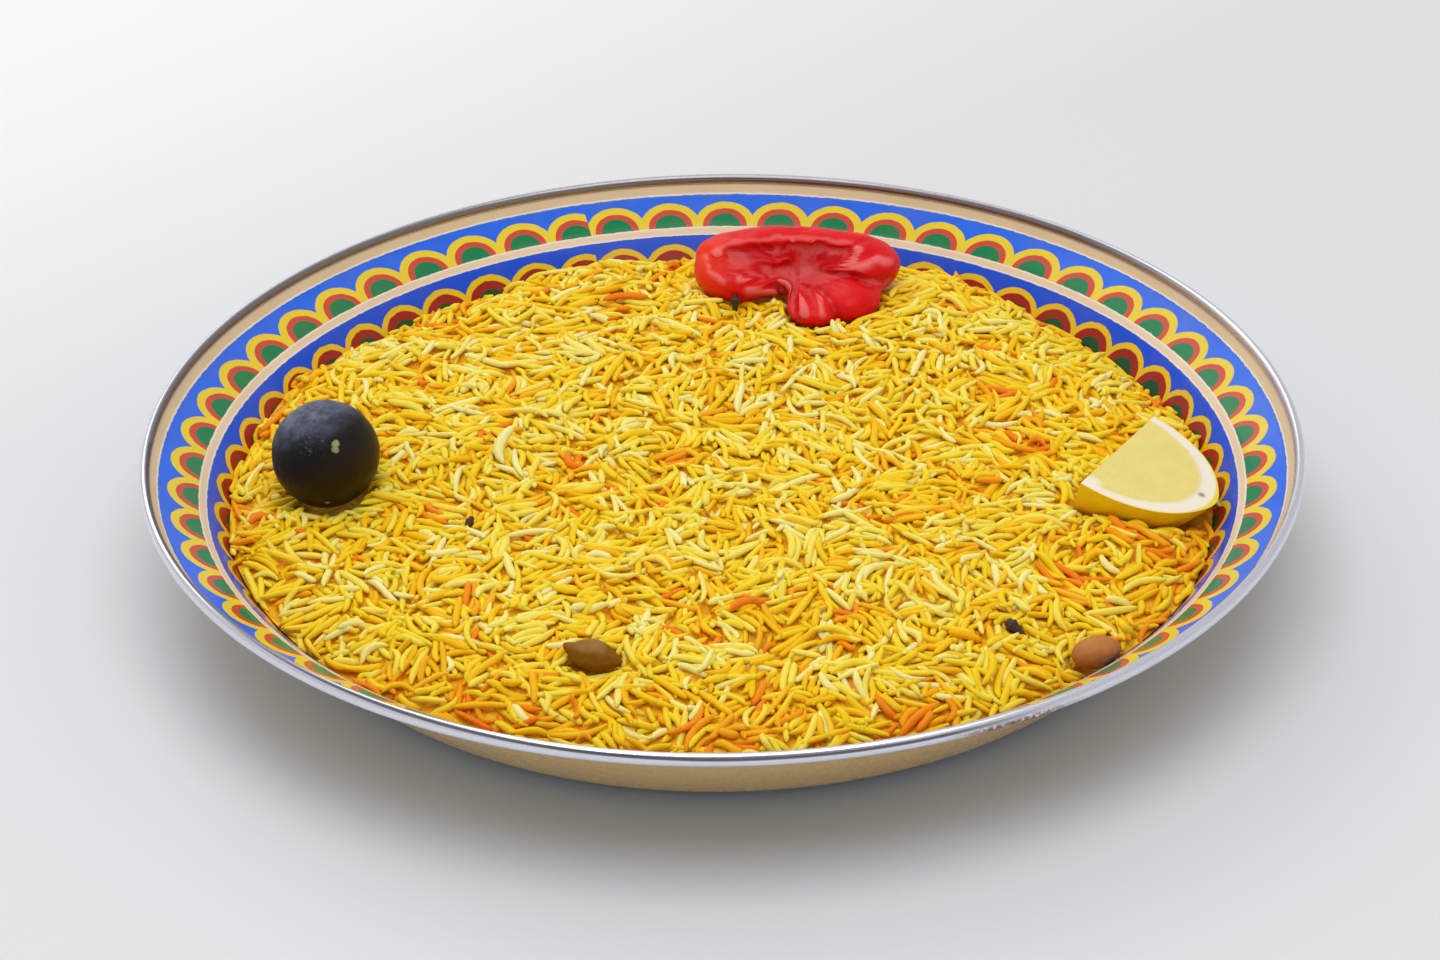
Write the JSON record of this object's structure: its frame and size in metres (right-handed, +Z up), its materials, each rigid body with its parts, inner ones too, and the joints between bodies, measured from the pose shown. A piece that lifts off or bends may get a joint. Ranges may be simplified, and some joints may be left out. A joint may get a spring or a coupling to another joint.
{
  "type": "mandi rice",
  "caption": "Yellow long grain rice heaped in a shallow enamelled dish with a steel edge, with a dried lime, a soft red pepper, a lemon wedge, a cardamom pod and an almond on top.",
  "frame": {"origin": "middle of the dish's foot, on the surface it stands on", "axes": "+Z up, +X to the right and +Y to the back as pictured: the dried lime lies at -X, the lemon wedge at +X, the red pepper at +Y"},
  "size_m": [0.35, 0.35, 0.0608],
  "materials": {
    "enamel": "glossy enamel, printed inside with a scalloped border",
    "steel": "plain rolled steel with a few rust specks",
    "rice": "moist cooked grains",
    "lime_skin": "dull dried skin with a soft sheen",
    "pepper_skin": "shiny soft skin with folds",
    "lemon": "satin rind, moist cut flesh",
    "husk": "dull, finely ridged",
    "nut": "satin skin"
  },
  "bodies": {
    "root": {"plate": "enamel", "rim_band": "steel", "rice": "rice", "black_lime": "lime_skin", "red_pepper": "pepper_skin", "lemon_wedge": "lemon", "cardamom_pod": "husk", "almond": "nut"}
  },
  "joints": []
}
